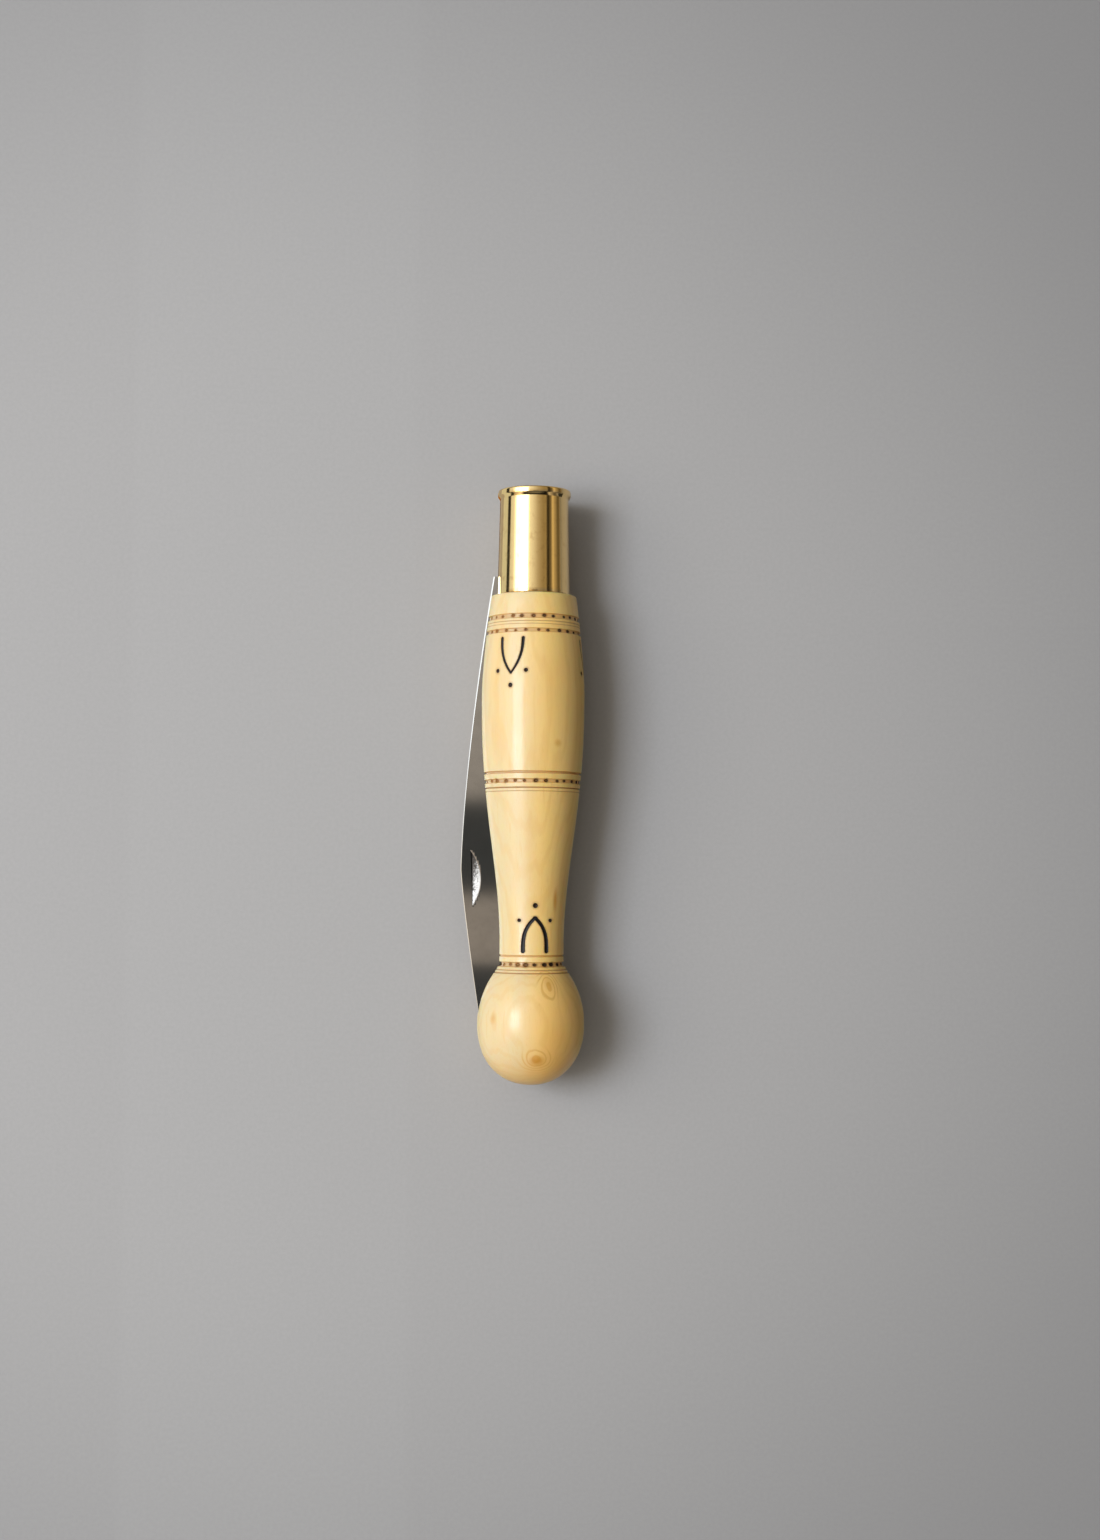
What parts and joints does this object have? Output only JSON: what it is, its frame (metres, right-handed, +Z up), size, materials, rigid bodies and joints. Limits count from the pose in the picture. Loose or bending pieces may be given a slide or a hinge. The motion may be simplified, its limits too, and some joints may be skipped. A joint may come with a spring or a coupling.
{
  "type": "pocket knife",
  "caption": "Folding knife with a turned ball-end wooden handle, a steel blade with a nail nick, and a brass ferrule at the pivot end that turns to lock the blade.",
  "frame": {"origin": "centre of the turning ferrule's end face, on the handle's axis", "axes": "+Y along the handle's axis, out of the ferrule's end face; the blade folds out on the -X side; +Z up, square to the blade's flat side that carries the nail nick"},
  "size_m": [0.0252, 0.1201, 0.0216],
  "materials": {
    "boxwood": "satin, pale yellow boxwood with burnt ornament",
    "ferrule_brass": "polished",
    "blade_steel": "fine polish",
    "rivet_steel": "filed flush"
  },
  "bodies": {
    "grip": {"handle": "boxwood", "fixed_ferrule": "ferrule_brass", "pivot_rivet": "rivet_steel"},
    "lock_ring": {"turning_ferrule": "ferrule_brass"},
    "folding_blade": {"blade": "blade_steel"}
  },
  "joints": [
    {"name": "blade_pivot", "type": "hinge", "parent": "grip", "child": "folding_blade", "pos_m": [-0.00067, -0.0086, 0], "axis": [0, 0, -1], "range_deg": [0, 180]},
    {"name": "ferrule_turn", "type": "hinge", "parent": "grip", "child": "lock_ring", "pos_m": [0, 0, 0], "axis": [0, 1, 0], "range_deg": [0, 60]}
  ]
}
